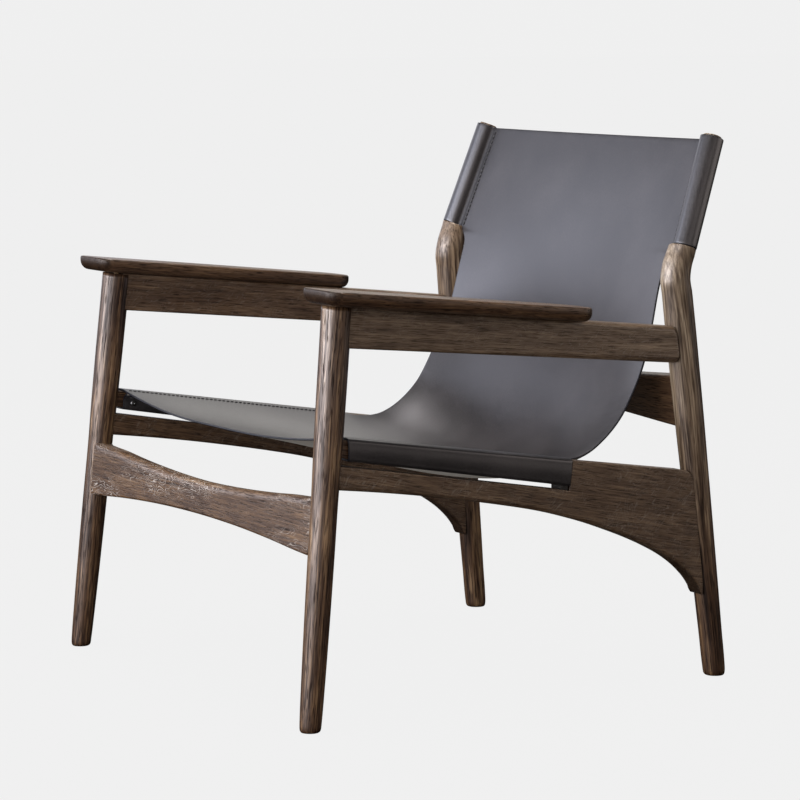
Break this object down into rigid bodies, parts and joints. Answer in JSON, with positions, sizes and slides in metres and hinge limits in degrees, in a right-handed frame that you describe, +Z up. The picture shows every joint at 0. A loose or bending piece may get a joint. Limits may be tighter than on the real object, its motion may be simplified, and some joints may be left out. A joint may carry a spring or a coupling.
{
  "type": "lounge chair",
  "caption": "Low open-arm lounge chair: round-legged dark oak frame with curved stretchers and bull-nosed armrests, and a one-piece saddle-leather sling for seat and back.",
  "frame": {"origin": "centre of the chair's footprint box on the floor, Z = 0 at the feet", "axes": "+Z up; the sitter faces -Y; +X is the sitter's left"},
  "size_m": [0.7254, 0.6772, 0.7311],
  "materials": {
    "oak": "dark smoked oak, satin oil",
    "dowel": "bare beech",
    "leather": "smooth saddle leather, semi-matte",
    "thread": "waxed thread",
    "screw": "darkened steel",
    "pad": "matte"
  },
  "bodies": {
    "root": {"front_leg_left": "oak", "front_leg_right": "oak", "rear_leg_left": "oak", "rear_leg_right": "oak", "arm_rail_left": "oak", "arm_rail_right": "oak", "side_rail_left": "oak", "side_rail_right": "oak", "armrest_left": "oak", "armrest_right": "oak", "seat_bar_left": "oak", "seat_bar_right": "oak", "front_stretcher": "oak", "rear_stretcher": "oak", "armrest_dowel_1_left": "dowel", "armrest_dowel_1_right": "dowel", "armrest_dowel_2_left": "dowel", "armrest_dowel_2_right": "dowel", "armrest_dowel_3_left": "dowel", "armrest_dowel_3_right": "dowel", "armrest_dowel_4_left": "dowel", "armrest_dowel_4_right": "dowel", "seat_bar_pin_left": "dowel", "seat_bar_pin_right": "dowel", "seat_bar_rest_left": "pad", "seat_bar_rest_right": "pad", "sleeve_screw_front_left": "screw", "sleeve_screw_front_right": "screw", "sleeve_screw_rear_left": "screw", "sleeve_screw_rear_right": "screw", "leather_sling": "leather", "back_seam_thread_left": "thread", "back_seam_thread_right": "thread", "seat_seam_thread_left": "thread", "seat_seam_thread_right": "thread"}
  },
  "joints": []
}
